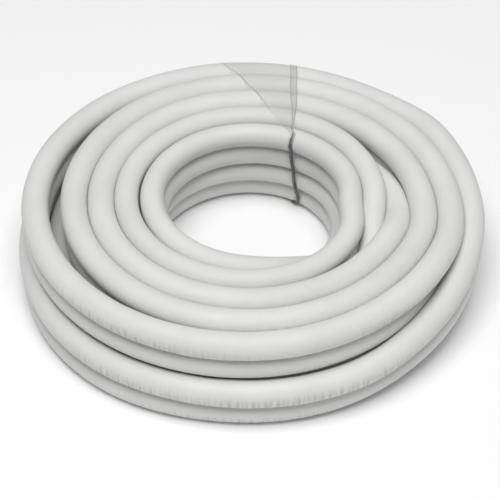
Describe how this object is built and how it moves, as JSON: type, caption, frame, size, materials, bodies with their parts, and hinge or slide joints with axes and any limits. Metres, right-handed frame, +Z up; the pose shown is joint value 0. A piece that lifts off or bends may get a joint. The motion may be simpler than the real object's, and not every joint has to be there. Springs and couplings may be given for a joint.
{
  "type": "mini split line set",
  "caption": "Foam-jacketed copper liquid and suction lines, wound side by side into a flat coil with an open bore and held by one band of stretch film",
  "frame": {"origin": "middle of the coil's underside, on the floor it lies on", "axes": "+Z up along the coil's axis, +Y towards the side that carries the film band, +X to the right when facing +Y"},
  "size_m": [0.4972, 0.4969, 0.108],
  "materials": {
    "foam_jacket": "soft closed-cell polyethylene foam with a satin skin",
    "stretch_film": "clear wrinkled stretch film",
    "copper": "drawn copper tube, lightly dulled",
    "cap_plastic": "soft moulded plastic"
  },
  "bodies": {
    "root": {"coil_of_paired_lines": "foam_jacket", "film_band": "stretch_film", "liquid_start_copper_end": "copper", "liquid_start_cap": "cap_plastic", "liquid_finish_copper_end": "copper", "liquid_finish_cap": "cap_plastic", "suction_start_copper_end": "copper", "suction_start_cap": "cap_plastic", "suction_finish_copper_end": "copper", "suction_finish_cap": "cap_plastic"}
  },
  "joints": []
}
